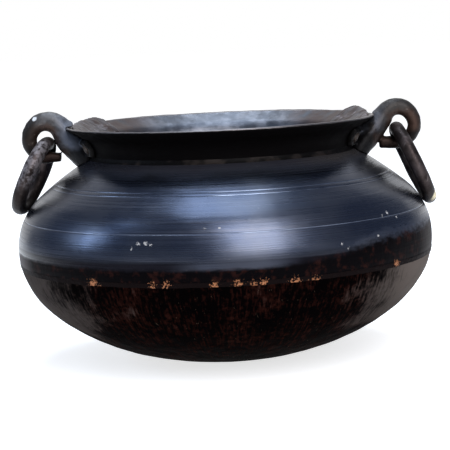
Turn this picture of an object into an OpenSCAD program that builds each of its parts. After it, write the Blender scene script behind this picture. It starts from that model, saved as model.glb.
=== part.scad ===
// Squat hearth cooking pot of beaten metal: bowl, turned shoulder and flared neck, brazed together.
// A heavy hooked lug is riveted to the neck at each end of X, and a loose ring hangs in its eye.
// The pot stands on z = 0 with its axis on Z. The backing plates' high corners are towards +Y.

/* [Bowl] */
// Greatest outer radius, at the widest line
belly_r = 192; // [175:1:215]
// Height of the widest line above the ground
belly_z = 108.5; // [95:0.5:130]
// Radius of the small flat that the bowl stands on
foot_r = 26; // [20:1:50]
// Thickness of the bowl's wall
bowl_wall = 4; // [3:0.5:6]

/* [Belly joint] */
// Depth of the joint below the widest line
seam_drop = 12; // [11:0.5:20]
// Width of the run of brazing metal
seam_w = 2; // [1:0.5:4]
// Height that the brazing metal stands proud of the walls
seam_proud = 0.3; // [0.1:0.1:0.8]
// Height of the bowl's lip inside the shoulder, above and below the joint
lap_h = 9; // [5:0.5:10]
// Thickness of this lip
lip_wall = 3; // [2:0.5:4]

/* [Shoulder] */
// Thickness of the shoulder's wall
shoulder_wall = 3; // [2:0.5:4.5]
// Height of the upright band above the widest line
band_h = 1.5; // [1:0.5:8]
// Radius of the curve that turns in from the band
bend_r = 61.5; // [54:0.5:70]
// Angle that this curve turns through
bend_turn = 50; // [46:1:54]
// Radius of the flatter curve from there to the neck
slope_r = 340; // [280:5:450]
// Distance of the upper incised line outside the neck
line_out = 34; // [28:0.5:40]
// Distance between the two upper incised lines
line_pitch = 3.6; // [2.5:0.1:6]
// Height of the lower incised line above the upright band
low_line_up = 28; // [15:0.5:35]
// Width of an incised line
line_w = 1; // [0.6:0.1:2]

/* [Neck] */
// Outer radius of the neck
neck_r = 120.5; // [114:0.5:126]
// Thickness of the neck's wall and of the rim
neck_wall = 2.5; // [2:0.1:4]
// Height of the neck's upright part above the shoulder
neck_upright = 5; // [3:0.5:12]
// Depth that the neck's foot reaches inside the shoulder
neck_lap = 5; // [4.5:0.5:9]
// Radius of the curve into the flare
flare_r = 16; // [14:0.5:20]
// Lean of the flare from the upright
flare_lean = 60; // [50:1:68]
// Outer radius of the rim
rim_r = 142.5; // [138:0.5:150]
// Size of the brazed fillet between neck and shoulder
fillet = 2.5; // [1.5:0.5:3.5]

/* [Lugs] */
// Distance of the right lug's eye outside the rim
right_eye_out = 20.8; // [19:0.1:26]
// Depth of the right lug's eye below the rim's top edge
right_eye_drop = 11.4; // [10:0.1:15]
// Distance of the left lug's eye outside the rim
left_eye_out = 18.5; // [17:0.5:24]
// Depth of the left lug's eye below the rim's top edge
left_eye_drop = 10.8; // [8:0.1:14]
// Room round the ring's wire in the right eye
right_eye_play = 4.4; // [3.6:0.1:6]
// Room round the ring's wire in the left eye
left_eye_play = 4.3; // [4:0.1:6]
// Length of the right lug's blunt tip past its eye
right_tip_len = 15.5; // [8:0.5:17]
// Length of the left lug's blunt tip past its eye
left_tip_len = 13; // [8:0.5:13.5]
// Rise of the right tip from the level
right_tip_rise = 3; // [0:1:6]
// Fall of the left tip from the level
left_tip_fall = 2; // [0:1:8]
// Thickness of the right tip's end
right_tip_end = 8.6; // [6:0.2:11]
// Thickness of the left tip's end
left_tip_end = 8; // [5:0.2:10]
// Slope of the arm where the curl begins
arm_rise = 50; // [46:1:52]
// How much closer to its eye the right curl lies where the arm begins
right_draw = 2; // [0:0.1:2.4]
// How much closer to its eye the left curl lies where the arm begins
left_draw = 0.1; // [0:0.1:0.6]
// Depth below the shoulder's top edge at which the right arm's middle line meets the neck
right_root_drop = 14; // [8:0.5:18]
// Depth below the shoulder's top edge at which the left arm's middle line meets the neck
left_root_drop = 9; // [5:0.5:14]
// Height of the right arm where it leaves the pot
root_w = 23; // [20:0.5:28]
// Height of the right arm at its thickest
thigh_w = 22.5; // [20:0.5:25]
// Height of the left arm at its thickest
left_thigh_w = 29; // [24:0.5:29]
// Height of the right arm where the curl begins
arm_w = 18.5; // [16:0.5:19.5]
// Thickness of the right curl at its top
arch_w = 16; // [13:0.5:17]
// Thickness of the right curl at its outer side
side_w = 12.5; // [11:0.1:15]
// Thickness of the tips, under the rings
tip_w = 11.5; // [9:0.1:13]
// How much stouter the left lug's root and curl are than the right's
left_stout = 1.12; // [1:0.02:1.14]
// Depth of the arm from front to back where it leaves the pot
root_depth = 48; // [36:1:50]
// Depth of the arm at its thickest
thigh_depth = 33; // [26:0.5:36]
// Depth of the arm where the curl begins
arm_depth = 25; // [20:0.5:28]
// Depth of the curl at its top
arch_depth = 18; // [15:0.5:20]
// Depth of the curl at its outer side and of the tip
tip_depth = 14; // [11:0.5:16]
// How far inwards an arm may lap over the rim
rim_lap = 6; // [0:0.5:8]

/* [Palms, rivets and backing plates] */
// Half the angle that a lug's palm covers on the neck
palm_turn = 19; // [18:0.5:24]
// Thickness of the palm
palm_thk = 5; // [4:0.5:6]
// Angle of each rivet from the lug's middle
rivet_turn = 14.5; // [13.5:0.5:15]
// Lean of the neck's wall where the rivets pass through it
rivet_lean = 26; // [22:1:30]
// Diameter of a rivet's shank
rivet_d = 7; // [5:0.5:8]
// Diameter of a rivet's head
head_d = 11; // [10:0.5:12]
// Height of a rivet's head
head_h = 2.6; // [2:0.2:3]
// Thickness of a backing plate
plate_thk = 2; // [2:0.5:4]
// Angle from the lug to a plate's front end
plate_front_turn = 21; // [20:0.5:25]
// Angle from the lug to the right plate's high corner at the back
right_peak_turn = 27.5; // [25:0.5:32]
// Angle from the lug to the left plate's high corner at the back
left_peak_turn = 33.5; // [30:0.5:38]
// Height of the right plate's high corner above the rim
right_peak_h = 4.5; // [1:0.5:5.5]
// Height of the left plate's high corner above the rim
left_peak_h = 4; // [1:0.5:5.5]
// Angle from the high corner to the plate's back end
plate_back_turn = 2.5; // [2:0.5:8]
// How much nearer to the lug the plate's back end lies at its foot than at the rim
plate_back_lean = 22; // [14:1:26]
// Depth of the plate's front end below the rim
plate_front_drop = 5; // [3:0.5:7]

/* [Rings] */
// Thickness of a ring's wire
wire_d = 13; // [11:0.1:13.6]
// Diameter of the right ring through the middle of its wire
right_ring_d = 70; // [64:0.5:76]
// Diameter of the left ring through the middle of its wire
left_ring_d = 65; // [60:0.5:72]
// Turn of the right ring from square to its lug, with its far side towards the pot
right_ring_turn = 0; // [0:1:3]
// Turn of the left ring in the same way
left_ring_turn = 7; // [0:1:8]

/* [Fits] */
// Gap between pieces that are fixed face to face
seat_gap = 0.1; // [0.05:0.05:0.2]
// Gap round a rivet's shank
rivet_fit = 0.05; // [0.05:0.05:0.2]
// Gap between a ring and what it rests on
ring_gap = 0.4; // [0.3:0.05:0.5]

/* [Hidden] */
$fn = 96;
bowl_steps = 30;
bend_steps = 12;
slope_steps = 8;
flare_steps = 12;
joint_steps = 4;
lap_steps = 6;
arm_steps = 8;
curl_steps = 28;
section_sides = 24;
ring_steps = 120;
lean_steps = 18;
groove_sides = 16;
edge_sides = 24;
round_sides = 48;

// Half height of the whole ellipse that the bowl is the lower half of
bowl_depth = belly_z / sqrt(1 - pow(foot_r / belly_r, 2));
foot_t = asin(belly_z / bowl_depth);
seam_low_t = asin((seam_drop + seam_w / 2) / bowl_depth);
seam_top_t = asin((seam_drop - seam_w / 2) / bowl_depth);
lap_low_t = asin((seam_drop + lap_h) / bowl_depth);
lap_top_t = asin((seam_drop - lap_h) / bowl_depth);

// Centres of the shoulder's two curves, as radius and height
bend_c = [belly_r - bend_r, belly_z + band_h];
slope_c = bend_c + (bend_r - slope_r) * [cos(bend_turn), sin(bend_turn)];
corner_z = slope_c.y + sqrt(pow(slope_r, 2) - pow(neck_r - slope_c.x, 2));

// The flare: its centre of curvature, the slope's direction and the middle of the rim's round edge
flare_c = [neck_r + flare_r, corner_z + neck_upright];
flare_dir = [sin(flare_lean), cos(flare_lean)];
rim_run = (rim_r - neck_wall / 2 - flare_end(-neck_wall / 2).x) / flare_dir.x;
rim_c = flare_end(-neck_wall / 2) + rim_run * flare_dir;
rim_z = rim_c.y + neck_wall / 2;

// How far an arm and a palm reach into the neck before the pot's outside is cut out of them
root_sink = 4;
palm_sink = 1;
wire_r = wire_d / 2;
plate_gap = neck_wall + seat_gap;

// Length of the arm's middle line that goes straight on from the curl before it turns to the root
arm_pull = 18;
// Where an arm is thickest, from 0 at the root to 1 at the curl
thigh_at = 0.7;
// The last part of a tip that tapers, as a share of its length
right_tip_taper = 0.1;
left_tip_taper = 1;
// Leans between which a ring is sure to come to rest on the shoulder
lean_range = [-10, 70];

function reverse(list) = [for (i = [len(list) - 1:-1:0]) list[i]];
function arc(c, r, a0, a1, n) =
    [for (i = [0:n]) let (a = a0 + (a1 - a0) * i / n) c + r * [cos(a), sin(a)]];

// Points on the bowl's ellipse, moved out by the distance out, between two of its angles
function bowl_line(t0, t1, out, n = bowl_steps) =
    [for (i = [0:n])
        let (t = t0 + (t1 - t0) * i / n, slant = [cos(t) / belly_r, -sin(t) / bowl_depth])
        [belly_r * cos(t), belly_z - bowl_depth * sin(t)] + out * slant / norm(slant)];

// Angle on the slope's curve, moved out, at a given radius from the pot's axis
function slope_turn(r, out = 0) = acos((r - slope_c.x) / (slope_r + out));
function slope_line(out, r0, r1) =
    arc(slope_c, slope_r + out, slope_turn(r0, out), slope_turn(r1, out), slope_steps);
bend_end_r = slope_c.x + slope_r * cos(bend_turn);

// The shoulder's outline from the seam up to the neck, moved out by the distance out
function shoulder_line(out) =
    concat(bowl_line(seam_top_t, 0, out, joint_steps),
           arc(bend_c, bend_r + out, 0, bend_turn, bend_steps),
           [for (i = [1:slope_steps])
               let (a = bend_turn + (slope_turn(neck_r - neck_wall) - bend_turn) * i / slope_steps)
               slope_c + (slope_r + out) * [cos(a), sin(a)]]);

// The neck's outline from a given height up to the end of the flare's curve, and on along the slope
function flare_end(out) = flare_c + (flare_r - out) * [-cos(flare_lean), sin(flare_lean)];
function flare_arc(out, lean) = arc(flare_c, flare_r - out, 180, 180 - lean, flare_steps);
function neck_line(out, low_z, run) =
    concat([[neck_r + out, low_z]], flare_arc(out, flare_lean), [flare_end(out) + run * flare_dir]);

module wall(outer, inner) {
    rotate_extrude() polygon(concat(outer, reverse(inner)));
}

// The bowl's wall, drawn up the outside, round the lip and down the inside to a flat floor
module bowl() {
    lip_out = -shoulder_wall - seat_gap;
    color([0.17, 0.13, 0.11])
    rotate_extrude()
        polygon(concat(bowl_line(foot_t, seam_low_t, 0),
                       bowl_line(seam_low_t, lap_top_t, lip_out, joint_steps),
                       bowl_line(lap_top_t, lap_low_t, lip_out - lip_wall, lap_steps),
                       [for (p = bowl_line(lap_low_t, 90, -bowl_wall)) [p.x, max(p.y, bowl_wall)]],
                       [[0, 0]]));
}

module belly_braze() {
    color([0.72, 0.40, 0.22])
    wall(bowl_line(seam_low_t, seam_top_t, seam_proud, 1),
         bowl_line(seam_low_t, seam_top_t, -shoulder_wall, 1));
}

module incised_line(r, z) {
    rotate_extrude() translate([r, z]) circle(d = line_w, $fn = groove_sides);
}

module shoulder() {
    color([0.13, 0.14, 0.18])
    difference() {
        wall(shoulder_line(0), shoulder_line(-shoulder_wall));
        translate([0, 0, belly_z]) cylinder(r = neck_r + seat_gap, h = rim_z);
        for (i = [0, 1]) {
            a = slope_turn(neck_r + line_out + i * line_pitch);
            incised_line(slope_c.x + slope_r * cos(a), slope_c.y + slope_r * sin(a));
        }
        a = asin(low_line_up / bend_r);
        incised_line(bend_c.x + bend_r * cos(a), bend_c.y + bend_r * sin(a));
    }
}

// The fillet's section, grown by the distance out on its sloping side and by twice that on its legs
module fillet_section(out = 0) {
    leg = fillet + 2 * out;
    a = slope_turn(neck_r + leg);
    polygon([[neck_r, corner_z], slope_c + slope_r * [cos(a), sin(a)] + [0, out],
             [neck_r, corner_z + leg]]);
}

module neck_braze() {
    color([0.45, 0.33, 0.24])
    rotate_extrude() difference() {
        fillet_section();
        square([neck_r + seat_gap / 2, rim_z]);
    }
}

module neck() {
    color([0.12, 0.12, 0.13])
    difference() {
        rotate_extrude() {
            polygon(concat(neck_line(0, corner_z - neck_lap, rim_run),
                           reverse(neck_line(-neck_wall, corner_z - neck_lap, rim_run))));
            translate(rim_c) circle(d = neck_wall, $fn = edge_sides);
        }
        for (side = [0, 180]) rotate([0, 0, side]) rivet_holes();
    }
}

// Places a piece on the neck's wall at both rivets: its z = 0 is the flare's centre of curvature, and
// its +Z runs square through the wall to the inside
module at_rivets() {
    for (turn = [-rivet_turn, rivet_turn])
        rotate([0, 0, turn]) translate([flare_c.x, 0, flare_c.y]) rotate([0, rivet_lean - 90, 0])
            children();
}

rivet_seat = flare_r - palm_thk;
rivet_far = flare_r + plate_gap + seat_gap + plate_thk + seat_gap;
module rivet_holes() {
    at_rivets() cylinder(d = rivet_d + 2 * rivet_fit, h = rivet_far + head_h, $fn = round_sides);
}

module rivet_head() {
    ball_r = (pow(head_d / 2, 2) + pow(head_h, 2)) / (2 * head_h);
    intersection() {
        cylinder(d = head_d, h = head_h);
        translate([0, 0, head_h - ball_r]) sphere(r = ball_r);
    }
}

module rivets() {
    color([0.40, 0.30, 0.20])
    at_rivets() {
        translate([0, 0, rivet_seat]) cylinder(d = rivet_d, h = rivet_far - rivet_seat);
        translate([0, 0, rivet_seat]) mirror([0, 0, 1]) rivet_head();
        translate([0, 0, rivet_far]) rivet_head();
    }
}

// A plate beaten to the inside of the neck and flare. Its upper edge reaches the rim's height beside the
// lug and rises from there to one high corner at the back.
module backing_plate(peak_turn, peak_h) {
    over_run = rim_run + peak_h / flare_dir.y + plate_thk;
    low_z = corner_z + seat_gap;
    front_y = -rim_r * sin(plate_front_turn);
    beside_y = thigh_depth / 2;
    peak_y = rim_r * sin(peak_turn);
    back_y = rim_r * sin(peak_turn + plate_back_turn);
    color([0.27, 0.24, 0.25])
    difference() {
        intersection() {
            rotate([0, 0, -plate_front_turn])
                rotate_extrude(angle = plate_front_turn + peak_turn + plate_back_turn)
                polygon(concat(neck_line(-plate_gap, low_z, over_run),
                               reverse(neck_line(-plate_gap - plate_thk, low_z, over_run))));
            rotate([90, 0, 90]) linear_extrude(2 * rim_r)
                polygon([[front_y * 2, low_z], [front_y * 2, rim_z - plate_front_drop],
                         [front_y, rim_z - plate_front_drop], [beside_y, rim_z],
                         [peak_y, rim_z + peak_h], [back_y, rim_z],
                         [back_y - plate_back_lean, low_z]]);
        }
        rivet_holes();
    }
}

// What a lug must keep clear of: the pot's outside, moved out, and all that lies above its mouth
module pot_envelope(out) {
    full_run = (rim_r + out - flare_end(out).x) / flare_dir.x;
    rotate_extrude() {
        polygon(concat([[0, belly_z]],
                       slope_line(out, bend_end_r, neck_r + out),
                       neck_line(out, corner_z + out, full_run),
                       [[rim_r + out, rim_z + out], [rim_r - rim_lap, rim_z + out],
                        [rim_r - rim_lap, 2 * rim_z], [0, 2 * rim_z]]));
        fillet_section(out);
    }
}

module palm() {
    rotate([0, 0, -palm_turn]) rotate_extrude(angle = 2 * palm_turn)
        polygon(concat([[neck_r + palm_thk, corner_z + fillet]], flare_arc(palm_thk, flare_lean),
                       reverse(flare_arc(-palm_sink, flare_lean)),
                       [[neck_r - palm_sink, corner_z + fillet]]));
}

// A lug's middle line: for each station its place, its direction and how far along the lug it is.
// That runs from 0 at the root, by 1 at the curl's start, 2 at its top, 3 at its outer side and 4 at
// its bottom, to 5 at the tip. The arm's part is a curve that leaves the curl straight.
function heading(a) = [cos(a), sin(a)];
function progress(a) =
    a > 90 ? 1 + (90 + arm_rise - a) / arm_rise : 2 + (90 - a) / 90;
function lug_stations(eye, play, draw, root_drop, tip_len, tip_rise, tip_taper) =
    let (r = wire_r + play + tip_w / 2, a0 = 90 + arm_rise, a1 = -90 - tip_rise,
         root = [neck_r - root_sink, corner_z - root_drop],
         start = eye + (r - draw) * heading(a0), turn = start - arm_pull * heading(arm_rise),
         end = eye + r * heading(a1))
    concat([for (i = [0:arm_steps - 1])
                let (u = i / arm_steps, way = (1 - u) * (turn - root) + u * (start - turn))
                [pow(1 - u, 2) * root + 2 * u * (1 - u) * turn + pow(u, 2) * start,
                 atan2(way.y, way.x), u]],
           [for (i = [0:curl_steps])
               let (a = a0 + (a1 - a0) * i / curl_steps)
               [eye + (r - draw * max(0, a - 90) / arm_rise) * heading(a), a - 90, progress(a)]],
           [for (u = [0.5 * (1 - tip_taper), 1 - tip_taper, 1]) if (u > 0)
               [end + u * tip_len * heading(a1 - 90), a1 - 90, 4 + u]]);

function widths(stout, thigh, tip_end, tip_taper) =
    concat([[0, stout * root_w], [thigh_at, thigh], [1, stout * arm_w], [2, stout * arch_w],
            [3, stout * side_w], [4, tip_w]],
           tip_taper < 1 ? [[5 - tip_taper, tip_w]] : [], [[5, tip_end]]);
function depths(tip_end, tip_taper) =
    concat([[0, root_depth], [thigh_at, thigh_depth], [1, arm_depth], [2, arch_depth], [3, tip_depth],
            [4, tip_depth]],
           tip_taper < 1 ? [[5 - tip_taper, tip_depth]] : [], [[5, tip_depth * tip_end / tip_w]]);
function section(station, widths, depths) =
    let (across = [-sin(station[1]), cos(station[1])],
         w = lookup(station[2], widths) / 2, d = lookup(station[2], depths) / 2)
    [for (k = [0:section_sides - 1])
        let (a = 360 * k / section_sides, p = station[0] + w * cos(a) * across)
        [p.x, d * sin(a), p.y]];

module swept(stations, widths, depths) {
    n = section_sides;
    last = len(stations) - 1;
    polyhedron(
        points = [for (s = stations) each section(s, widths, depths)],
        faces = concat([[for (k = [n - 1:-1:0]) k]], [[for (k = [0:n - 1]) last * n + k]],
                       [for (i = [0:last - 1], k = [0:n - 1])
                           let (a = i * n + k, b = i * n + (k + 1) % n)
                           each [[a, b, a + n], [b, b + n, a + n]]]));
}

module lug(stations, stout, thigh, tip_end, tip_taper) {
    color([0.27, 0.25, 0.23])
    difference() {
        union() {
            swept(stations, widths(stout, thigh, tip_end, tip_taper), depths(tip_end, tip_taper));
            palm();
        }
        pot_envelope(seat_gap);
        rivet_holes();
        at_rivets() translate([0, 0, rivet_seat - 2 * head_h])
            cylinder(d = head_d + 2 * seat_gap, h = 2 * head_h);
    }
}

right_eye = [rim_r + right_eye_out, rim_z - right_eye_drop];
left_eye = [rim_r + left_eye_out, rim_z - left_eye_drop];

// The middle of the ring's wire where it lies in the round of the curl
function hang_point(eye, play) = eye - [0, play - ring_gap];

// A point on the ring's middle line, t degrees round from the eye, for a ring that leans and is turned
function ring_point(hang, d, turn, lean, t) =
    let (down = (1 - cos(t)) * d / 2, side = sin(t) * d / 2)
    [hang.x + down * sin(lean) - side * sin(turn) * cos(lean), side * cos(turn),
     hang.y - down * cos(lean) - side * sin(turn) * sin(lean)];

// Height of a point above the shoulder's surface: above the curve below the slope, or the slope itself
function above_shoulder(p) =
    let (q = [norm([p.x, p.y]), p.z], up = q - bend_c)
    atan2(up.y, up.x) <= bend_turn ? norm(up) - bend_r : norm(q - slope_c) - slope_r;
function ring_room(hang, d, turn, lean) =
    min([for (i = [1:ring_steps]) above_shoulder(ring_point(hang, d, turn, lean, 360 * i / ring_steps))])
    - wire_r - ring_gap;

// The lean at which the ring comes to rest on the shoulder, found by halving a range of leans
function rest_lean(hang, d, turn, low = lean_range[0], high = lean_range[1], steps = lean_steps) =
    steps == 0 ? high :
    let (middle = (low + high) / 2)
    ring_room(hang, d, turn, middle) > 0 ? rest_lean(hang, d, turn, low, middle, steps - 1)
                                         : rest_lean(hang, d, turn, middle, high, steps - 1);

module ring(hang, d, turn) {
    lean = rest_lean(hang, d, turn);
    color([0.22, 0.17, 0.14])
    translate([hang.x, 0, hang.y]) rotate([-turn, 90 - lean, 0]) translate([d / 2, 0, 0])
        rotate_extrude() translate([d / 2, 0]) circle(d = wire_d, $fn = round_sides);
}

module right_backing_plate() { backing_plate(right_peak_turn, right_peak_h); }
module left_backing_plate() { mirror([1, 0, 0]) backing_plate(left_peak_turn, left_peak_h); }
module right_lug() {
    lug(lug_stations(right_eye, right_eye_play, right_draw, right_root_drop, right_tip_len,
                     right_tip_rise, right_tip_taper),
        1, thigh_w, right_tip_end, right_tip_taper);
}
module left_lug() {
    mirror([1, 0, 0])
        lug(lug_stations(left_eye, left_eye_play, left_draw, left_root_drop, left_tip_len,
                         -left_tip_fall, left_tip_taper),
            left_stout, left_thigh_w, left_tip_end, left_tip_taper);
}
module right_rivets() { rivets(); }
module left_rivets() { mirror([1, 0, 0]) rivets(); }
module right_ring() {
    ring(hang_point(right_eye, right_eye_play), right_ring_d, right_ring_turn);
}
module left_ring() {
    mirror([1, 0, 0])
        ring(hang_point(left_eye, left_eye_play), left_ring_d, left_ring_turn);
}

bowl();
belly_braze();
shoulder();
neck_braze();
neck();
right_backing_plate();
left_backing_plate();
right_lug();
left_lug();
right_rivets();
left_rivets();
right_ring();
left_ring();
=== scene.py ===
from math import acos, asin, cos, pi, radians, sin, sqrt, tan, tau

import bpy
from mathutils import Matrix, Vector


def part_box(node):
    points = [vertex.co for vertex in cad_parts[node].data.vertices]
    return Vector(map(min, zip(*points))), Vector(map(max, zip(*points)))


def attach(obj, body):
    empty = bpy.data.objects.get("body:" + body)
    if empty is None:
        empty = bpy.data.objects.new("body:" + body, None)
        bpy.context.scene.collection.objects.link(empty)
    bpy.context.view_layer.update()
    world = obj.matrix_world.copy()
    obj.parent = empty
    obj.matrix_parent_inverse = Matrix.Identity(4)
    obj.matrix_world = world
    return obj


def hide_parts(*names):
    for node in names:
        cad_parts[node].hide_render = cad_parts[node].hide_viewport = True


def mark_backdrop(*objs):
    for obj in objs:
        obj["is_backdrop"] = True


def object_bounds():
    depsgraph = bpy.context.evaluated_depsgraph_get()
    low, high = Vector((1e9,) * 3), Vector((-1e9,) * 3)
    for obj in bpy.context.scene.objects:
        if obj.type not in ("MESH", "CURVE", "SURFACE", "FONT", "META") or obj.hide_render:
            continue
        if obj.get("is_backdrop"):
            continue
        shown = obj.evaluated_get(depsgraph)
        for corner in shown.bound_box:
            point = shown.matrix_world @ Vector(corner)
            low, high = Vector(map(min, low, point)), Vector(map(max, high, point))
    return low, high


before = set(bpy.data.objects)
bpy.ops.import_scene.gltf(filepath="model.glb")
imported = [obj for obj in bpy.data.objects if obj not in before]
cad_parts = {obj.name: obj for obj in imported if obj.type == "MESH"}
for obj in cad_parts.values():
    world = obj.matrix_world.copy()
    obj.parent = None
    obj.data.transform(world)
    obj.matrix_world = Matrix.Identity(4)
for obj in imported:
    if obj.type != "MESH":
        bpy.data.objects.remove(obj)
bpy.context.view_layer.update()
bpy.ops.object.select_all(action="DESELECT")

# The camera stands in front of the pot, a little above the rim, with a long lens. It is rolled by
# a small angle, so that the pot's right side stands higher in the picture.
camera_place = Vector((0, -1.540, 0.312))
camera_aim = Vector((0.0003, 0, 0.1223))
camera_roll = radians(-2.6)
sensor_width = 36
field_of_view = radians(15.44)

bpy.ops.object.camera_add(location=camera_place)
camera = bpy.context.object
look = (camera_aim - camera_place).to_track_quat("-Z", "Y").to_matrix()
camera.rotation_euler = (look @ Matrix.Rotation(camera_roll, 3, "Z")).to_euler()
camera.data.sensor_width = sensor_width
camera.data.lens = sensor_width / 2 / tan(field_of_view / 2)
bpy.context.scene.camera = camera

# The bowl is the lower body, raised from one sheet with a hammer and black with soot. Its outline
# is the lower part of an ellipse, and its lip steps in and stands up inside the shoulder.
belly_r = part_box("shoulder")[1].x
belly_z = 0.1085
foot_r = 0.026
bowl_wall = 0.004
seam_drop = 0.012
seam_w = 0.002
lip_up = 0.009
lip_wall = 0.003
shoulder_wall = 0.003
seat_gap = 0.0001
same_place = 0.00002
flat_foot_z = 0.001
hammered_z = 0.014
joint_clear = 0.014

soot_black = (0.0008, 0.0005, 0.0006)
soot_red = (0.018, 0.0050, 0.0034)
ash = (0.060, 0.048, 0.042)
ash_and_sheen_at_right = (0.145, 0.117, 0.100)
fleck_tan = (0.10, 0.065, 0.045)


def even(low, high, count):
    """Evenly spaced values from low to high, both included."""
    return [low + (high - low) * i / count for i in range(count + 1)]


def turned(name, outline, steps=360):
    """A vertex drawn once round the closed outline, which is then spun round the pot's axis."""
    bpy.ops.mesh.primitive_plane_add(size=0.01)
    piece = bpy.context.object
    piece.name = name
    bpy.ops.object.mode_set(mode="EDIT")
    bpy.ops.mesh.merge(type="CENTER")
    bpy.ops.transform.translate(value=(outline[0][0], 0, outline[0][1]))
    for (r0, z0), (r1, z1) in zip(outline, outline[1:] + outline[:1]):
        bpy.ops.mesh.extrude_region_move(TRANSFORM_OT_translate={"value": (r1 - r0, 0, z1 - z0)})
    bpy.ops.mesh.select_all(action="SELECT")
    bpy.ops.mesh.remove_doubles(threshold=same_place)
    bpy.ops.mesh.spin(steps=steps, angle=tau, center=(0, 0, 0), axis=(0, 0, 1))
    bpy.ops.mesh.select_all(action="SELECT")
    bpy.ops.mesh.remove_doubles(threshold=same_place)
    bpy.ops.mesh.normals_make_consistent(inside=False)
    bpy.ops.object.mode_set(mode="OBJECT")
    return piece


def beat(piece, kind, size, depth, tall=1, weight=None, seed=0):
    """Hammers the piece: moves its surface in and out by a texture with marks of that size, apart
    from where the weight of a point is 0. A tall pattern is stretched upwards."""
    texture = bpy.data.textures.new(piece.name + "_" + kind.lower(), kind)
    texture.noise_scale = size
    bpy.ops.object.empty_add(location=(seed, seed, seed))
    grid = bpy.context.object
    grid.scale = (1, 1, tall)
    bpy.context.view_layer.objects.active = piece
    change = piece.modifiers.new("beaten", "DISPLACE")
    change.texture = texture
    change.texture_coords = "OBJECT"
    change.texture_coords_object = grid
    change.strength = depth
    if weight:
        group = piece.vertex_groups.new(name="beaten")
        for vertex in piece.data.vertices:
            group.add([vertex.index], weight(vertex.co), "REPLACE")
        change.vertex_group = group.name
    bpy.context.view_layer.update()
    bpy.ops.object.modifier_apply(modifier=change.name)
    piece.vertex_groups.clear()
    bpy.data.objects.remove(grid)


def ease(value, low, high):
    """0 below low, 1 above high and a smooth rise between them."""
    share = min(1, max(0, (value - low) / (high - low)))
    return share * share * (3 - 2 * share)


def smooth(piece, angle):
    """Shades the piece smooth, apart from edges sharper than the angle in degrees."""
    bpy.ops.object.select_all(action="DESELECT")
    piece.select_set(True)
    bpy.context.view_layer.objects.active = piece
    bpy.ops.object.shade_smooth_by_angle(angle=radians(angle))
    bpy.ops.object.select_all(action="DESELECT")


class Field:
    """A value that varies over a surface. Maths written with it adds Math nodes to its material."""

    def __init__(self, tree, socket):
        self.tree, self.socket = tree, socket

    def node(self, kind, settings, inputs, output=0):
        """Adds a shader node with its settings, and the values or links of its sockets."""
        made = self.tree.nodes.new("ShaderNode" + kind)
        for name, value in settings.items():
            setattr(made, name, value)
        for name, value in inputs.items():
            if isinstance(value, Field):
                self.tree.links.new(value.socket, made.inputs[name])
            else:
                made.inputs[name].default_value = value
        return Field(self.tree, made.outputs[output])

    def maths(self, operation, a, b=0.0):
        """Adds a Math node for the operation on a and b."""
        return self.node("Math", {"operation": operation}, {0: a, 1: b})

    def __add__(self, other):
        return self.maths("ADD", self, other)

    def __radd__(self, other):
        return self.maths("ADD", other, self)

    def __sub__(self, other):
        return self.maths("SUBTRACT", self, other)

    def __rsub__(self, other):
        return self.maths("SUBTRACT", other, self)

    def __mul__(self, other):
        return self.maths("MULTIPLY", self, other)

    def __rmul__(self, other):
        return self.maths("MULTIPLY", other, self)

    def __truediv__(self, other):
        return self.maths("DIVIDE", self, other)

    def __gt__(self, other):
        return self.maths("GREATER_THAN", self, other)

    def __abs__(self):
        return self.maths("ABSOLUTE", self)

    def root(self):
        return self.maths("SQRT", self)

    def most(self, other):
        """The larger of the two values."""
        return self.maths("MAXIMUM", self, other)


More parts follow.
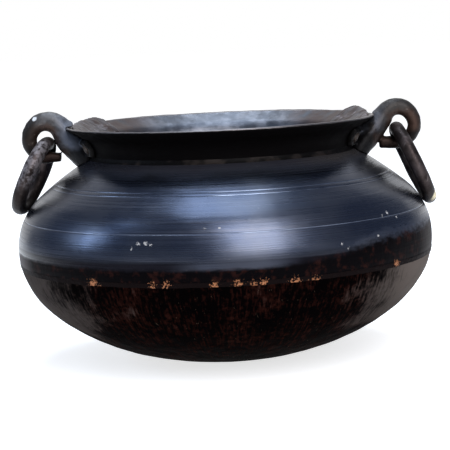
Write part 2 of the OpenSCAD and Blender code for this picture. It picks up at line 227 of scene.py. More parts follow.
class Metal:
    """A metal's finish: the place on its surface, and the patterns that it is mixed from."""

    def __init__(self, name):
        self.material = bpy.data.materials.new(name)
        self.material.use_nodes = True
        self.tree = self.material.node_tree
        self.shader = self.tree.nodes["Principled BSDF"]
        coordinates = self.tree.nodes.new("ShaderNodeTexCoord")
        self.place = Field(self.tree, coordinates.outputs["Object"])
        self.x, self.y, self.z = (self.place.node("SeparateXYZ", {}, {0: self.place}, i)
                                  for i in range(3))
        self.radius = (self.x * self.x + self.y * self.y).root()

    def grain(self, along, across, up=None, detail=3, roughness=0.5, seed=0.0):
        """Noise that follows the turning of the pot, with marks that long and that high."""
        turn = belly_r / along
        spot = {0: self.x / self.radius * turn + seed, 1: self.y / self.radius * turn,
                2: (up or self.z) / across}
        return self.place.node("TexNoise", {}, {
            "Vector": self.place.node("CombineXYZ", {}, spot),
            "Scale": 1.0, "Detail": detail, "Roughness": roughness})

    def stretched(self, size, stretch, seed):
        """The place on a pattern with marks of that size, stretched by a factor along each axis."""
        return self.place.node("Mapping", {}, {
            "Vector": self.place, "Location": (seed, seed, seed),
            "Scale": tuple(1 / size / factor for factor in stretch)})

    def noise(self, size, detail=3, roughness=0.5, seed=0.0, stretch=(1, 1, 1)):
        """Noise with marks of that size."""
        return self.place.node("TexNoise", {}, {
            "Vector": self.stretched(size, stretch, seed),
            "Scale": 1.0, "Detail": detail, "Roughness": roughness})

    def cells(self, size, stretch=(1, 1, 1)):
        """Distance from the nearest of many scattered points, for marks such as a hammer's."""
        return self.place.node("TexVoronoi", {}, {
            "Vector": self.stretched(size, stretch, 0), "Scale": 1.0})

    def away(self, centre):
        """Distance from a point."""
        return self.place.node("VectorMath", {"operation": "DISTANCE"},
                               {0: self.place, 1: centre}, 1)

    def rise(self, value, low, high):
        """0 where the value is below low, 1 above high, and a smooth rise between them."""
        return self.place.node("MapRange", {"interpolation_type": "SMOOTHSTEP"},
                               {"Value": value, "From Min": low, "From Max": high})

    def spot(self, centre, size, ragged, grain=0.004):
        """1 within a spot of that size round a point, with an edge broken up by noise."""
        edge = self.away(centre) + (self.noise(grain, 4) - 0.5) * (2 * ragged)
        return self.rise(edge, size, size * 0.5)

    def mix(self, share, a, b):
        """Colour a turning to colour b with the share."""
        colours = {i: c if isinstance(c, Field) else (*c, 1) for i, c in ((6, a), (7, b))}
        return self.place.node("Mix", {"data_type": "RGBA"}, {0: share, **colours}, 2)

    def finish(self, piece, colour, metallic, roughness, height, specular):
        """Links colour, gloss and the surface's height in metres, and paints the piece."""
        for name, value in (("Base Color", colour), ("Metallic", metallic),
                            ("Roughness", roughness)):
            if isinstance(value, Field):
                self.tree.links.new(value.socket, self.shader.inputs[name])
            else:
                self.shader.inputs[name].default_value = value
        self.shader.inputs["Specular IOR Level"].default_value = specular
        bump = self.place.node("Bump", {}, {"Height": height, "Distance": 1.0})
        self.tree.links.new(bump.socket, self.shader.inputs["Normal"])
        piece.data.materials.clear()
        piece.data.materials.append(self.material)


bowl_depth = belly_z / sqrt(1 - (foot_r / belly_r) ** 2)


def bowl_line(low_z, high_z, out, count):
    """Points on the bowl's ellipse between two heights, moved out by the distance out."""
    low_turn, high_turn = (asin((belly_z - z) / bowl_depth) for z in (low_z, high_z))
    points = []
    for t in even(low_turn, high_turn, count):
        slant = Vector((cos(t) / belly_r, -sin(t) / bowl_depth)).normalized()
        points.append((belly_r * cos(t) + out * slant.x,
                       belly_z - bowl_depth * sin(t) + out * slant.y))
    return points


lip_out = -shoulder_wall - seat_gap
seam_z = belly_z - seam_drop
seam_low_z = seam_z - seam_w / 2
lip_low_z = seam_z - lip_up
lip_top_z = seam_z + lip_up
inside = [p for p in bowl_line(lip_low_z, 0.0001, -bowl_wall, 50) if p[1] > bowl_wall]
floor_r = inside[-1][0]
bowl_outline = ([(0, 0), (foot_r / 2, 0)] + bowl_line(0, seam_low_z, 0, 90)
                + bowl_line(seam_low_z, lip_top_z, lip_out, 5)
                + bowl_line(lip_top_z, lip_low_z, lip_out - lip_wall, 5) + inside
                + [(floor_r * share, bowl_wall) for share in (0.8, 0.5, 0.2, 0)])


def bowl_free(point):
    """How far the hammer may move a point of the bowl: not at the foot, nor at the joint."""
    return (ease(point.z, flat_foot_z, hammered_z)
            * (1 - ease(point.z, seam_low_z - joint_clear, seam_low_z)))


bowl = turned("bowl_hammered", bowl_outline)
beat(bowl, "VORONOI", size=0.012, depth=0.0007, tall=1.7, weight=bowl_free)
beat(bowl, "CLOUDS", size=0.05, depth=0.0012, weight=bowl_free, seed=3)
smooth(bowl, 50)

soot = Metal("sooted_brass")
streaks = soot.grain(0.0024, 0.012, detail=5, roughness=0.65)
crust = soot.noise(0.005, 4, 0.65, seed=8.0)
flecks = soot.grain(0.0022, 0.0035, detail=2, seed=7.0)
patches = soot.noise(0.035, 4, seed=2.0)
red = soot.rise(streaks * 0.4 + crust * 0.35 + patches * 0.25, 0.47, 0.63)
# Paler towards the sides, more at the right: rubbed ash, with a painted sheen along the sides. Less
# wear low down makes the bowl darker towards the bottom.
painted_side_sheen = soot.rise(abs(soot.x) / soot.radius, 0.45, 0.95) * soot.rise(soot.z, 0.015, 0.060)
low = soot.rise(soot.z, 0.050, 0.012)
right_side_sheen = soot.rise(soot.x, 0.12, 0.18) * soot.rise(soot.z, 0.035, 0.07)
rubbing = streaks * 0.35 + crust * 0.2 + patches * 0.45
wear_and_sheen = soot.rise(rubbing + painted_side_sheen * 0.30 + right_side_sheen * 0.10 - low * 0.10, 0.57, 0.80)
colour = soot.mix(red, soot_black, soot_red)
colour = soot.mix(wear_and_sheen * 0.9, colour, soot.mix(right_side_sheen, ash, ash_and_sheen_at_right))
colour = soot.mix(soot.rise(flecks, 0.70, 0.78) * 0.4, colour, fleck_tan)
height = soot.cells(0.008, (1, 1, 2)) * -0.0002 + streaks * 0.00035 + crust * 0.00025
soot.finish(bowl, colour, metallic=0.0, roughness=0.55 + (streaks - 0.5) * 0.3, height=height,
            specular=0.0015)
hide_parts("bowl")
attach(bowl, "pot")

# The brazing metal fills the joint between bowl and shoulder. It is a rough run of uneven width,
# under soot for the most part, and it shows its copper colour in ragged spots where it has been
# rubbed.
braze_proud = 0.0003
braze_seat = 0.0028

# Each bare spot has a turn from the front in degrees, and a drop and a size in millimetres.
bare_spots = ((-36.5, 1.5, 4.5), (-35.0, 5.5, 3.5), (-19.0, 1.0, 2.5), (-15.5, 0.5, 2.5),
              (-3.0, 1.5, 3.0), (3.0, 1.5, 3.0), (6.5, 3.5, 3.5), (9.0, 1.5, 3.0),
              (17.3, 3.5, 4.5), (22.5, 5.5, 4.5), (20.0, 8.0, 3.0), (50.3, 0.5, 3.5),
              (104.0, 0.0, 5.0), (131.0, 2.0, 4.0), (168.0, 1.0, 5.0), (-118.0, 2.0, 5.0),
              (-149.0, -1.0, 4.0), (-84.0, 1.0, 3.5))

dull_copper = (0.10, 0.036, 0.017)
bright_copper = (0.52, 0.22, 0.105)
sooted_joint = (0.0045, 0.0025, 0.0025)
joint_dust_and_sheen = (0.045, 0.038, 0.035)


def seam_point(turn, drop):
    """A point near the joint, that many degrees to the right of the front and that much lower."""
    a = radians(turn)
    return (belly_r * sin(a), -belly_r * cos(a), seam_z + seam_w / 2 - drop / 1000)


def rubbed(metal):
    """Where the copper-coloured metal is bare."""
    bare = 0.0
    crumbs = (metal.noise(0.0020, 4, 0.7, seed=4.0) - 0.5) * 0.026
    for turn, drop, size in bare_spots:
        gap = metal.away(seam_point(turn, drop)) + crumbs
        bare = metal.rise(gap, size / 1000, size / 2400).most(bare)
    return bare


def bare_copper(metal):
    """The colour of rubbed brazing metal."""
    return metal.mix(metal.noise(0.003, 3, seed=9.0), dull_copper, bright_copper)


def joint_free(point):
    """How far the brazing metal may wander: only on its outer side."""
    return ease(point.xy.length, belly_r - 0.003, belly_r - 0.001)


braze_low_z, braze_top_z = seam_z - seam_w, seam_z + seam_w
belly_braze = turned("belly_braze_run", bowl_line(braze_low_z, braze_top_z, braze_proud, 5)
                     + bowl_line(braze_top_z, braze_low_z, -braze_seat, 1), steps=480)
beat(belly_braze, "CLOUDS", size=0.009, depth=0.0009, weight=joint_free)
beat(belly_braze, "CLOUDS", size=0.003, depth=0.0004, weight=joint_free, seed=5)
smooth(belly_braze, 50)

braze = Metal("brazing_metal")
bare = rubbed(braze)
# At its outer sides the run is painted pale: dust, with a painted sheen.
edge_dust_and_sheen = braze.rise(abs(braze.x) / braze.radius, 0.85, 1.0)
colour = braze.mix(bare, braze.mix(edge_dust_and_sheen, sooted_joint, joint_dust_and_sheen), bare_copper(braze))
braze.finish(belly_braze, colour, metallic=bare * 0.3, roughness=0.6 - bare * 0.1,
             height=braze.noise(0.003, 4) * 0.0005, specular=0.02)
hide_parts("belly_braze")
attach(belly_braze, "pot")

# The shoulder is the upper body, raised and then turned on a lathe and burnished almost black. Its
# outline is two arcs, with a double line cut in high up and one fainter line lower. Soot has crept
# up over its foot, higher at the right, and small nicks show paler metal.
band_h = 0.0015
bend_r = 0.0615
bend_turn = radians(50)
slope_r = 0.340
neck_r = 0.1205
line_w = 0.0010
line_depth = 0.00025
line_clear = 0.0016
line_out = 0.034
line_pitch = 0.0036
low_line_up = 0.028

# Each nick has a turn from the front in degrees, a height and a size.
nick_marks = ((-24.5, 0.1270, 0.0016), (-22.6, 0.1310, 0.0020), (-20.6, 0.1315, 0.0026),
              (-19.2, 0.1305, 0.0016), (49.9, 0.1411, 0.0022), (47.5, 0.1400, 0.0012),
              (43.2, 0.1242, 0.0014), (30.7, 0.1222, 0.0014), (32.5, 0.1180, 0.0010),
              (53.2, 0.1364, 0.0012), (-5.3, 0.1425, 0.0009), (-1.3, 0.1425, 0.0009),
              (118.0, 0.1300, 0.0020), (-131.0, 0.1380, 0.0016), (171.0, 0.1260, 0.0018))

blue_black = (0.058, 0.069, 0.102)
steel_blue = (0.080, 0.088, 0.114)
pale_turning = (0.11, 0.115, 0.14)
smoke_and_reflection_black = (0.006, 0.005, 0.007)
grime_and_shade_grey = (0.026, 0.023, 0.027)
brown_grime = (0.060, 0.050, 0.042)
scuff_grey = (0.22, 0.21, 0.21)
cut_reflection_blue = (0.22, 0.25, 0.32)
soil_black = (0.0012, 0.0008, 0.0012)
soil_red = (0.014, 0.0045, 0.0036)
dust_and_sheen_left = (0.150, 0.132, 0.126)
dust_and_sheen_right = (0.045, 0.038, 0.036)
nick_pale = (0.46, 0.44, 0.42)

bend_c = (belly_r - bend_r, belly_z + band_h)
slope_c = (bend_c[0] + (bend_r - slope_r) * cos(bend_turn),
           bend_c[1] + (bend_r - slope_r) * sin(bend_turn))


def slope_turn(radius):
    """The angle at which the slope's arc has that distance from the pot's axis."""
    return acos((radius - slope_c[0]) / slope_r)


def arc(centre, radius, angles):
    """Points on an arc at those angles, as distance from the pot's axis and height."""
    return [(centre[0] + radius * cos(a), centre[1] + radius * sin(a)) for a in angles]


def cut_line(centre, radius, angle):
    """The points across an incised line, a small round valley in an arc."""
    half = line_w / 2 / radius
    valley = ((-1.3, 0), (-1, 0.1), (-0.5, 1), (0.5, 1), (1, 0.1), (1.3, 0))
    return [arc(centre, radius - line_depth * deep, [angle + half * across])[0]
            for across, deep in valley]


low_line = asin(low_line_up / bend_r)
low_clear = line_clear / bend_r
upper_line, lower_line = (slope_turn(neck_r + line_out + out) for out in (0, line_pitch))
high_clear = line_clear / slope_r
slope_end = slope_turn(neck_r + seat_gap)
outer = (bowl_line(seam_z + seam_w / 2, belly_z, 0, 5)
         + arc(bend_c, bend_r, even(0, low_line - low_clear, 11))
         + cut_line(bend_c, bend_r, low_line)
         + arc(bend_c, bend_r, even(low_line + low_clear, bend_turn, 10))
         + arc(slope_c, slope_r, even(bend_turn, lower_line - high_clear, 6)[1:])
         + cut_line(slope_c, slope_r, lower_line) + cut_line(slope_c, slope_r, upper_line)
         + arc(slope_c, slope_r, even(upper_line + high_clear, slope_end, 14)))
inner = (arc(slope_c, slope_r - shoulder_wall, even(slope_end, bend_turn, 10))
         + arc(bend_c, bend_r - shoulder_wall, even(bend_turn, 0, 16)[1:])
         + bowl_line(belly_z, seam_z + seam_w / 2, -shoulder_wall, 5)[1:])


def shoulder_free(point):
    """How far the shoulder's sheet may wave: not at the joint, nor at the neck."""
    return ease(point.z, seam_z, seam_z + 0.02) * (1 - ease(point.z, 0.170, 0.188))


shoulder = turned("shoulder_turned", outer + inner)
beat(shoulder, "CLOUDS", size=0.06, depth=0.0010, weight=shoulder_free, seed=8)
beat(shoulder, "CLOUDS", size=0.02, depth=0.00012, tall=0.4, weight=shoulder_free, seed=2)
smooth(shoulder, 40)

burnish = Metal("turned_brass")
rise_line = burnish.z - burnish.radius
lines = burnish.grain(0.22, 0.0011, rise_line, detail=2)
wide_lines = burnish.grain(0.35, 0.0045, rise_line, seed=5.0)
clouds = burnish.noise(0.05, 4, seed=6.0)
scuffs = burnish.grain(0.006, 0.0016, rise_line, seed=11.0)
colour = burnish.mix(burnish.rise(clouds, 0.35, 0.7), blue_black, steel_blue)
colour = burnish.mix(burnish.rise(wide_lines, 0.45, 0.75) * 0.35, colour, pale_turning)

# Above the soot line the shoulder is darkened by smoke and by a painted dark reflection, less at
# the front where the highlight falls.
smoke_and_dark_reflection = burnish.rise(burnish.z + (wide_lines - 0.5) * 0.010, 0.1215, 0.1145)
smoke_and_dark_reflection = smoke_and_dark_reflection * (0.45 + 0.50 * burnish.rise(abs(burnish.x - 0.008), 0.022, 0.060))
colour = burnish.mix(smoke_and_dark_reflection, colour, smoke_and_reflection_black)
# Near the neck, under the rim's overhang, the shoulder is darker and less metallic: grime, brown at
# the right, with painted shade.
grime_and_shade = burnish.rise(burnish.radius + (clouds - 0.5) * 0.02, neck_r + 0.022, neck_r + 0.004)
grime_and_shade_colour = burnish.mix(burnish.rise(burnish.x, 0.05, 0.11), grime_and_shade_grey, brown_grime)
colour = burnish.mix(grime_and_shade * 0.8, colour, grime_and_shade_colour)
colour = burnish.mix(burnish.rise(scuffs, 0.70, 0.80) * 0.5, colour, scuff_grey)

# The cut lines are painted pale bluish, a painted reflection along them.
low_line_z = belly_z + band_h + low_line_up
cuts = burnish.rise(abs(burnish.z - low_line_z), 0.0006, 0.0002) * 0.5
for out in (0, line_pitch):
    at_line = abs(burnish.radius - (neck_r + line_out + out))
    cuts = cuts.most(burnish.rise(at_line, 0.0006, 0.0002))
colour = burnish.mix(cuts * burnish.rise(wide_lines + clouds, 0.80, 1.05), colour, cut_reflection_blue)

smeared = burnish.rise(burnish.x, 0.03, 0.13)
ragged = (burnish.grain(0.012, 0.003, detail=4, seed=3.0) - 0.5) * 0.004
crept_up = smeared * 0.008 + burnish.rise(burnish.x, 0.090, 0.145) * 0.008
soot_edge = (burnish.z - (belly_z + 0.0005) + ragged - crept_up) / (0.0020 + smeared * 0.005)
frayed = (burnish.grain(0.006, 0.003, detail=4) - 0.5) * smeared * 1.5
sooted = burnish.rise(soot_edge + frayed, 1.0, -1.0)
crusted = burnish.rise(burnish.noise(0.009, 5, 0.65), 0.50, 0.66)
# Where the soot reaches the outer sides it is painted pale, paler at the left: dust, with a painted
# sheen.
dust_and_sheen = burnish.mix(burnish.rise(burnish.x, -0.1, 0.1), dust_and_sheen_left, dust_and_sheen_right)
edge_dust_and_sheen = burnish.rise(abs(burnish.x) / burnish.radius, 0.88, 0.99)
soil = burnish.mix(edge_dust_and_sheen, burnish.mix(crusted, soil_black, soil_red), dust_and_sheen)
colour = burnish.mix(sooted, colour, soil)
bare = rubbed(burnish) * burnish.rise(burnish.z, seam_z + 0.007, seam_z + 0.002)
colour = burnish.mix(bare, colour, bare_copper(burnish))

nicks = 0.0
for turn, z, size in nick_marks:
    a, out = radians(turn), bend_c[0] + sqrt(bend_r ** 2 - (z - bend_c[1]) ** 2)
    nick = burnish.spot((out * sin(a), -out * cos(a), z), size * 0.8, 0.003, 0.0012)
    nicks = nick.most(nicks)
colour = burnish.mix(nicks * 0.8, colour, nick_pale)

metallic = (1 - sooted * 0.96) * (1 - grime_and_shade * 0.5) * (1 - nicks * 0.8)
roughness = 0.29 + sooted * 0.28 + (lines - 0.5) * 0.22 + (clouds - 0.5) * 0.12
crust = sooted * burnish.grain(0.004, 0.012, detail=4)
burnish.finish(shoulder, colour, metallic, roughness,
               height=lines * 0.00006 + wide_lines * 0.00012 + crust * 0.0003, specular=0.02)
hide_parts("shoulder")
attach(shoulder, "pot")

# The neck is a short upright ring of sheet that flares out to a thin rim. It stands inside the
# shoulder's opening. The rim is hammered, so its edge is not quite level, and it is worn pale. The
# sheet is painted black outside as shade under the flare, and inside it is grey, with brown stains
# near the lugs.
neck_wall = 0.0025
neck_lap = 0.005
flare_r = 0.016
flare_lean = radians(60)
rim_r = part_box("neck")[1].x
rim_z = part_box("neck")[1].z
neck_foot_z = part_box("neck")[0].z
corner_z = neck_foot_z + neck_lap
neck_upright = 0.005
rim_half = neck_wall / 2

inside_grey = (0.064, 0.068, 0.081)
inside_pale = (0.142, 0.145, 0.164)
inside_brown = (0.058, 0.036, 0.032)
neck_shade_black = (0.0016, 0.0012, 0.0013)
rim_pale = (0.15, 0.135, 0.135)

flare_c = (neck_r + flare_r, corner_z + neck_upright)
slope = (sin(flare_lean), cos(flare_lean))
rim_c = (rim_r - rim_half, rim_z - rim_half)


def between(a, b, shares):
    """Points on a straight line from a to b, at those shares of its length."""
    return [(a[0] + (b[0] - a[0]) * s, a[1] + (b[1] - a[1]) * s) for s in shares]


def neck_line(out):
    """The neck's outline moved out: up from its foot, round the flare and on to the rim's edge."""
    curve = arc(flare_c, flare_r - out, even(pi, pi - flare_lean, 14))
    edge = (rim_c[0] + (out + rim_half) * slope[1], rim_c[1] - (out + rim_half) * slope[0])
    return ([(neck_r + out, z) for z in even(neck_foot_z, flare_c[1], 4)] + curve[1:]
            + between(curve[-1], edge, even(0, 1, 8)[1:]))


def flare_free(point):
    """How far the flare may wave: not where the neck stands upright."""
    return ease(point.z, corner_z + 0.010, rim_z)


def neck_free(point):
    """How far the hammer may mark the neck: not at its foot."""
    return ease(point.z, corner_z + 0.004, corner_z + 0.012)


round_edge = arc(rim_c, rim_half, even(-flare_lean, pi - flare_lean, 6)[1:-1])
neck = turned("neck_flared", neck_line(0) + round_edge + neck_line(-neck_wall)[::-1])
beat(neck, "CLOUDS", size=0.07, depth=0.0016, weight=flare_free, seed=4)
beat(neck, "VORONOI", size=0.011, depth=0.0004, weight=neck_free, seed=1)
smooth(neck, 60)

patina = Metal("neck_patina")
clouds = patina.noise(0.022, 5, 0.6, seed=3.0)
turning = patina.grain(0.10, 0.0016, patina.z + patina.radius)
from_r, from_z = patina.radius - flare_c[0], patina.z - flare_c[1]
straight = (patina.radius - rim_c[0]) * slope[1] - (patina.z - rim_c[1]) * slope[0]
bent = flare_r + rim_half - (from_r * from_r + from_z * from_z).root()
upright = patina.radius - (neck_r - rim_half)
above = from_z > 0.0
past = (from_r * slope[0] + from_z * slope[1]) > 0.0
skin = past * straight + (1 - past) * (above * bent + (1 - above) * upright)
outside = patina.rise(skin, -0.0004, 0.0004)
near_lugs = patina.rise(abs(patina.x), 0.055, 0.095) * patina.rise(clouds, 0.34, 0.56)
uneven = (patina.noise(0.006, 3) - 0.5) * 0.0012
top_edge = patina.rise(patina.z + uneven, rim_z - 0.0012, rim_z - 0.0005)
painted_shade_outside = outside * (1 - top_edge)
colour = patina.mix(patina.rise(clouds, 0.4, 0.65), inside_grey, inside_pale)
colour = patina.mix(near_lugs * 0.85, colour, inside_brown)
# Outside, the sheet is painted black and dull as shade.
colour = patina.mix(outside, colour, neck_shade_black)
colour = patina.mix(top_edge * 0.85, colour, rim_pale)
height = turning * 0.00006 + patina.cells(0.010) * -0.00015 + patina.noise(0.004, 3) * 0.00012
patina.finish(neck, colour, metallic=0.9 - painted_shade_outside * 0.88,
              roughness=0.38 + painted_shade_outside * 0.25 + (clouds - 0.5) * 0.25, height=height, specular=0.02)
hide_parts("neck")
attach(neck, "pot")

# A fillet of brazing metal lies in the corner between neck and shoulder. It is dull brown, and its
# edge on the shoulder wanders.
fillet = 0.0025
fillet_hollow = 0.25
fillet_black = (0.003, 0.0025, 0.0025)
fillet_brown = (0.022, 0.017, 0.015)

neck_face_r = neck_r + seat_gap / 2
foot_side = arc(slope_c, slope_r, [slope_turn(neck_r + fillet)])[0]
shares = even(0, 1, 4)
bow = [(r - fillet_hollow * fillet * s * (1 - s), z - fillet_hollow * fillet * s * (1 - s))
       for s, (r, z) in zip(shares, between((neck_face_r, corner_z + fillet), foot_side, shares))]


def fillet_free(point):
    """How far the fillet may wander: only away from the neck."""
    return ease(point.xy.length, neck_r, neck_r + 0.001)


neck_braze = turned("neck_braze_run", [(neck_face_r, corner_z - seat_gap)] + bow[::-1])
beat(neck_braze, "CLOUDS", size=0.012, depth=0.0008, weight=fillet_free, seed=6)
smooth(neck_braze, 70)

brown = Metal("dull_brazing")
colour = brown.mix(brown.rise(brown.noise(0.020, 4), 0.52, 0.66), fillet_black, fillet_brown)
brown.finish(neck_braze, colour, metallic=0.3, roughness=0.55,
             height=brown.noise(0.003, 4) * 0.0004, specular=0.1)
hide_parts("neck_braze")
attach(neck_braze, "pot")

# A backing plate is beaten to the inside of the neck behind each lug, and the rivets pass through
# it. It is rough sheet, cut by hand, with purple-brown stains and one high corner at the back.
plate_grey = (0.062, 0.056, 0.066)
plate_brown = (0.046, 0.028, 0.027)
plate_pale = (0.26, 0.24, 0.28)


def forged(name, node, face_size, rounds):
    """The node's shape as one skin of even small faces, with its sharp edges beaten round."""
    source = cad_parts[node]
    piece = bpy.data.objects.new(name, source.data.copy())
    bpy.context.collection.objects.link(piece)
    bpy.ops.object.select_all(action="DESELECT")
    piece.select_set(True)
    bpy.context.view_layer.objects.active = piece
    bpy.ops.object.mode_set(mode="EDIT")
    bpy.ops.mesh.select_all(action="SELECT")
    bpy.ops.mesh.remove_doubles(threshold=0.00001)
    bpy.ops.object.mode_set(mode="OBJECT")
    skin = piece.modifiers.new("skin", "REMESH")
    skin.mode = "VOXEL"
    skin.voxel_size = face_size
    soften = piece.modifiers.new("soften", "SMOOTH")
    soften.factor = 0.5
    soften.iterations = rounds
    bpy.ops.object.modifier_apply(modifier=skin.name)
    bpy.ops.object.modifier_apply(modifier=soften.name)
    return piece


for side in ("right", "left"):
    plate = forged(side + "_plate_beaten", side + "_backing_plate", face_size=0.0005, rounds=26)
    beat(plate, "CLOUDS", size=0.012, depth=0.0012, seed=2)
    beat(plate, "VORONOI", size=0.008, depth=0.0005, seed=5)
    smooth(plate, 180)
    stained = Metal(side + "_plate_patina")
    stains = stained.noise(0.014, 5, 0.6, seed=5.0)
    rubs = stained.rise(stained.noise(0.007, 4, seed=1.0), 0.55, 0.7)
    colour = stained.mix(stained.rise(stains, 0.4, 0.6), plate_grey, plate_brown)
    colour = stained.mix(rubs * 0.7, colour, plate_pale)
    stained.finish(plate, colour, metallic=0.9, roughness=0.46 + (stains - 0.5) * 0.3,
                   height=stained.noise(0.004, 4) * 0.0003, specular=0.5)
    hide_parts(side + "_backing_plate")
    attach(plate, "pot")

# Each lug is one heavy forging: a palm beaten to the neck, a thick arm, a round hook that leaves an
# eye, and a blunt cut tip. Handling has worn it grey, the left one more, and the arm carries a
# painted highlight, the left one also a painted glint. It is brown inside the hook, black below the
# eye, and painted black as shade where the palm meets the neck under the flare.
eye_right = Vector((0.1633, 0, 0.2092))
eye_left = Vector((-0.161, 0, 0.2098))
hook_brown = (0.062, 0.034, 0.024)
hook_black = (0.013, 0.010, 0.008)
palm_shade_black = (0.003, 0.0024, 0.0022)
tip_brown = (0.022, 0.012, 0.009)
speck_tan = (0.17, 0.15, 0.13)
painted_glint_white = (0.85, 0.84, 0.82)

for side, eye, dark, pale, arm_wear_and_highlight in (
        ("right", eye_right, (0.018, 0.015, 0.014), (0.043, 0.038, 0.035), (0.080, 0.083, 0.099)),
        ("left", eye_left, (0.048, 0.043, 0.040), (0.120, 0.115, 0.116), (0.110, 0.122, 0.155))):
    lug = forged(side + "_lug_forged", side + "_lug", face_size=0.0009, rounds=5)
    beat(lug, "CLOUDS", size=0.016, depth=0.0012, seed=7)
    beat(lug, "VORONOI", size=0.007, depth=0.0005, seed=3)
    smooth(lug, 180)
    forging = Metal(side + "_lug_patina")
    out, across, eye_out = abs(forging.x), abs(forging.y), abs(eye.x)
    stains = forging.noise(0.018, 5, 0.6, seed=eye.x * 90)
    fine = forging.noise(0.0025, 4, seed=2.0)
    far_out = forging.rise(out, eye_out + 0.002, eye_out + 0.016)
    from_eye = forging.away(eye) + (stains - 0.5) * 0.016 - far_out * 0.004
    in_hook = forging.rise(from_eye, 0.021, 0.012)
    # The arm is painted bluish grey: wear, with a painted highlight along it.
    arm_highlight = forging.rise(out, 0.156, 0.138) * forging.rise(across, 0.030, 0.018)
    # The lug is darker below its eye, and the palm's sides under the flare are painted black as
    # shade.
    low_end = forging.rise(forging.z + (stains - 0.5) * 0.010, 0.2070, 0.1985)
    palm_in_shade = forging.rise(across, 0.017, 0.022) * forging.rise(forging.z, 0.2210, 0.2150)
    sooted = low_end.most(palm_in_shade)
    tip = (forging.rise(out, eye_out + 0.008, eye_out + 0.002)
           * forging.rise(out, 0.1375, 0.1430) * sooted)
    specks = forging.rise(fine, 0.62, 0.72) * 0.35 * (1 - sooted)
    colour = forging.mix(forging.rise(stains, 0.38, 0.62), dark, pale)
    colour = forging.mix(in_hook * 0.8, colour, hook_brown)
    if side == "left":
        colour = forging.mix(far_out * 0.85, colour, hook_black)
    colour = forging.mix(arm_highlight * forging.rise(stains, 0.30, 0.55) * 0.85, colour, arm_wear_and_highlight)
    colour = forging.mix(sooted * 0.95, colour, palm_shade_black)
    colour = forging.mix(tip, colour, tip_brown)
    colour = forging.mix(specks, colour, speck_tan)
    if side == "left":
        # A painted glint, near white, on a rubbed spot of the left lug.
        painted_glint = forging.spot((-0.171, -0.006, 0.2295), 0.003, 0.001)
        colour = forging.mix(painted_glint, colour, painted_glint_white)
    forging.finish(lug, colour, metallic=0.6, roughness=0.50 + (stains - 0.5) * 0.25,
                   height=fine * 0.00035 + stains * 0.0006, specular=0.2)
    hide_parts(side + "_lug")
    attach(lug, "pot")

# Two rivets hold each lug. A shank runs through palm, neck and plate, and both heads are domed
# with the hammer.
rivet_turn = radians(14.5)
rivet_lean = radians(26)
rivet_r = 0.0035
head_r = 0.0055
head_h = 0.0026
palm_thk = 0.005
plate_thk = 0.002
shank_from = flare_r - palm_thk
shank_to = flare_r + neck_wall + plate_thk + 3 * seat_gap
rivet_black = (0.012, 0.008, 0.006)
rivet_brown = (0.050, 0.030, 0.020)

for side, way in (("right", 0), ("left", pi)):
    parts = []
    for turn in (-rivet_turn, rivet_turn):
        bpy.ops.mesh.primitive_cylinder_add(vertices=32, radius=rivet_r,
                                            depth=shank_to - shank_from,
                                            location=(0, 0, (shank_from + shank_to) / 2))
        parts.append(bpy.context.object)
        for z, flip in ((shank_from, -1), (shank_to, 1)):
            bpy.ops.mesh.primitive_uv_sphere_add(segments=32, ring_count=24, radius=head_r,
                                                 location=(0, 0, z))
            parts.append(bpy.context.object)
            bpy.ops.object.mode_set(mode="EDIT")
            bpy.ops.mesh.select_all(action="SELECT")
            bpy.ops.mesh.bisect(plane_co=(0, 0, z), plane_no=(0, 0, flip), use_fill=True,
                                clear_inner=True)
            bpy.ops.mesh.select_all(action="SELECT")
            bpy.ops.transform.resize(value=(1, 1, head_h / head_r), center_override=(0, 0, z))
            bpy.ops.object.mode_set(mode="OBJECT")
        seat = (Matrix.Rotation(way, 4, "Z") @ Matrix.Rotation(turn, 4, "Z")
                @ Matrix.Translation((flare_c[0], 0, flare_c[1]))
                @ Matrix.Rotation(rivet_lean - pi / 2, 4, "Y"))
        for part in parts[-3:]:
            part.matrix_world = seat @ part.matrix_world
    bpy.context.view_layer.update()
    bpy.ops.object.select_all(action="DESELECT")
    for part in parts:
        part.select_set(True)
    rivets = parts[0]
    bpy.context.view_layer.objects.active = rivets
    bpy.ops.object.join()
    bpy.ops.object.transform_apply(location=True, rotation=True, scale=True)
    rivets.name = side + "_rivets_peened"
    beat(rivets, "CLOUDS", size=0.003, depth=0.0003)
    smooth(rivets, 40)
    peened = Metal(side + "_rivet_patina")
    colour = peened.mix(peened.noise(0.003, 4), rivet_black, rivet_brown)
    peened.finish(rivets, colour, metallic=0.4, roughness=0.5,
                  height=peened.noise(0.002, 3) * 0.0003, specular=0.5)
    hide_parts(side + "_rivets")
    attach(rivets, "pot")

# A ring is thick bar bent round and closed in the lug's eye. It is not quite round in section, has
# fine scratches along it, is painted black as shade in the eye, is greasy black at its low end, and
# is rubbed pale where it is held or strikes; the left one's front is paler still with a painted
# highlight.
# The left one stands a little turned in its eye.
wire_r = 0.0065
bar_black = (0.020, 0.015, 0.014)
bar_grey = (0.066, 0.052, 0.050)
scratch_grey = (0.20, 0.17, 0.165)
grease = (0.012, 0.009, 0.008)
eye_shade_black = (0.005, 0.004, 0.0035)
struck_brass = (0.80, 0.70, 0.48)
held_grey_and_highlight = (0.20, 0.18, 0.185)

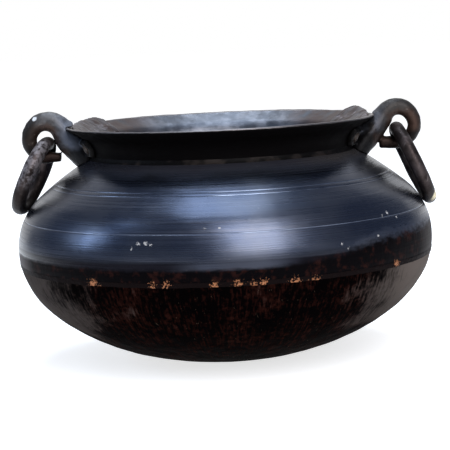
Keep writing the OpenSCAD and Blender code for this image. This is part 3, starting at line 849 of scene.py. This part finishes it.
for side, way, lean, turn, grease_from_z, black_from_z in (
        ("right", 1, radians(23.69), 0, 0.160, 0.146),
        ("left", -1, radians(25.40), radians(7), 0.178, 0.164)):
    low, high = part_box(side + "_ring")
    axis = Vector((way * cos(lean) * cos(turn), sin(turn), sin(lean) * cos(turn)))
    ring_r = ((high.y - low.y) / 2 - wire_r) / cos(turn)
    bpy.ops.mesh.primitive_torus_add(major_segments=192, minor_segments=40, major_radius=ring_r,
                                     minor_radius=wire_r, location=(low + high) / 2,
                                     rotation=axis.to_track_quat("Z", "Y").to_euler())
    ring = bpy.context.object
    ring.name = side + "_ring_bar"
    bpy.ops.object.transform_apply(location=True, rotation=True, scale=True)
    beat(ring, "CLOUDS", size=0.02, depth=0.0006, seed=way * 2)
    beat(ring, "VORONOI", size=0.009, depth=0.0003, seed=4)
    smooth(ring, 180)
    bar = Metal(side + "_ring_patina")
    stains = bar.noise(0.016, 5, 0.6, seed=3.0 + way)
    scratches = bar.noise(0.0016, 3, stretch=(3, 1, 8), seed=1.0)
    greasy = bar.rise(bar.z, grease_from_z, black_from_z)
    in_eye = bar.rise(bar.z, 0.188, 0.198) * bar.rise(bar.y, -0.003, 0.003)
    colour = bar.mix(bar.rise(stains, 0.38, 0.64), bar_black, bar_grey)
    colour = bar.mix(bar.rise(scratches, 0.58, 0.75) * 0.45, colour, scratch_grey)
    colour = bar.mix(greasy * 0.7, colour, grease)
    if side == "right":
        wear_and_sheen = bar.spot((0.1950, -0.0185, 0.1455), 0.0080, 0.003)
        colour = bar.mix(wear_and_sheen, colour, struck_brass)
    else:
        # On the left ring the front is paler: rubbed, with a painted highlight.
        mottled = bar.rise(bar.noise(0.004, 4), 0.36, 0.60)
        wear_and_sheen = bar.rise(bar.y, -0.008, -0.020) * mottled * (1 - greasy) * 0.75
        colour = bar.mix(wear_and_sheen, colour, held_grey_and_highlight)
    # In the eye the ring is painted black as shade.
    colour = bar.mix(in_eye * 0.9, colour, eye_shade_black)
    bar.finish(ring, colour, metallic=(0.7 - wear_and_sheen * 0.5) * (1 - in_eye),
               roughness=0.45 + (stains - 0.5) * 0.25,
               height=scratches * 0.00018 + stains * 0.0004, specular=0.0)
    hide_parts(side + "_ring")
    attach(ring, side + "_ring")

# The pot stands on a pale floor in soft light from five windows: a tall one in front, one overhead,
# one high at the back and two at the left. A dark curved screen stands round it, under a canopy,
# and the metal reflects both.
window_distance = 2.2
daylight = (0.98, 0.98, 1.0)
top_sky = (0.74, 0.86, 1.0)
back_sky = (0.78, 0.89, 1.0)
side_sky = (0.60, 0.77, 1.0)
sky_fill = 0.35
floor_size = 30
floor_gap = 0.0004
floor_glow = 0.72
screen_r = 2.6
screen_h = 4.2
screen_back_y = 1.9

# Each window has a turn to the right of the camera and a lift in degrees, and a width and height.
for name, turn, lift, width, height, radiance, colour in (
        ("window_front", 18.5, 36.5, 1.2, 1.95, 2.1, daylight),
        ("window_top", 180, 88, 1.1, 1.6, 1.6, top_sky),
        ("window_back", -170, 66, 0.9, 0.5, 2.8, back_sky),
        ("window_left", -83, 26, 0.34, 0.75, 3.1, side_sky),
        ("window_left_high", -74, 50, 0.4, 0.4, 0.8, side_sky)):
    a, e = radians(turn), radians(lift)
    out = Vector((sin(a) * cos(e), -cos(a) * cos(e), sin(e)))
    bpy.ops.object.light_add(type="AREA", location=window_distance * out + Vector((0, 0, belly_z)))
    window = bpy.context.object
    window.name = name
    window.rotation_euler = out.to_track_quat("Z", "Y").to_euler()
    window.data.shape = "RECTANGLE"
    window.data.size, window.data.size_y = width, height
    window.data.color = colour
    window.data.energy = radiance * pi * pi * width * height


def looked_at(tree):
    """1 for what the camera sees straight, mirrored or through something, and 0 for the light
    that falls on the pot."""
    path = tree.nodes.new("ShaderNodeLightPath")
    straight, mirrored, through = (Field(tree, path.outputs[ray]) for ray in (
        "Is Camera Ray", "Is Glossy Ray", "Is Transmission Ray"))
    return straight.most(mirrored).most(through)


def backdrop(name, colour, specular):
    """A matt material and its shader."""
    material = bpy.data.materials.new(name)
    material.use_nodes = True
    shader = material.node_tree.nodes["Principled BSDF"]
    shader.inputs["Base Color"].default_value = (*colour, 1)
    shader.inputs["Roughness"].default_value = 1.0
    shader.inputs["Specular IOR Level"].default_value = specular
    shader.inputs["Emission Strength"].default_value = 1.0
    return material, shader


world = bpy.context.scene.world or bpy.data.worlds.new("studio")
bpy.context.scene.world = world
world.use_nodes = True
sky = world.node_tree.nodes["Background"]
strength = sky_fill + looked_at(world.node_tree) * (1 - sky_fill)
sky.inputs["Color"].default_value = (1, 1, 1, 1)
world.node_tree.links.new(strength.socket, sky.inputs["Strength"])

bpy.ops.mesh.primitive_plane_add(size=floor_size, location=(0, 0, -floor_gap))
floor = bpy.context.object
floor.name = "floor"
paper, shader = backdrop("floor_paper", (0.85, 0.85, 0.85), specular=0.0)
white = looked_at(paper.node_tree) * floor_glow
glow = white.node("CombineColor", {}, {i: white for i in range(3)})
paper.node_tree.links.new(glow.socket, shader.inputs["Emission Color"])
floor.data.materials.append(paper)
floor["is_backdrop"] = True

felt, shader = backdrop("screen_felt", (0.02, 0.02, 0.02), specular=0.5)
shader.inputs["Emission Color"].default_value = (0.15, 0.18, 0.25, 1)
bpy.ops.mesh.primitive_cylinder_add(vertices=96, radius=screen_r, depth=screen_h,
                                    end_fill_type="NOTHING", location=(0, 0, screen_h / 2))
screen = bpy.context.object
screen.name = "dark_screen"
bpy.ops.object.mode_set(mode="EDIT")
bpy.ops.mesh.select_all(action="SELECT")
bpy.ops.mesh.bisect(plane_co=(0, screen_back_y, 0), plane_no=(0, 1, 0), clear_outer=True)
bpy.ops.object.mode_set(mode="OBJECT")
bpy.ops.mesh.primitive_circle_add(vertices=96, radius=screen_r, fill_type="NGON",
                                  location=(0, 0, screen_h))
canopy = bpy.context.object
canopy.name = "dark_canopy"
for cloth in (screen, canopy):
    cloth.data.materials.append(felt)
    cloth.visible_camera = False
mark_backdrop(screen, canopy)

bpy.context.scene.view_settings.view_transform = "Standard"

low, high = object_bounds()
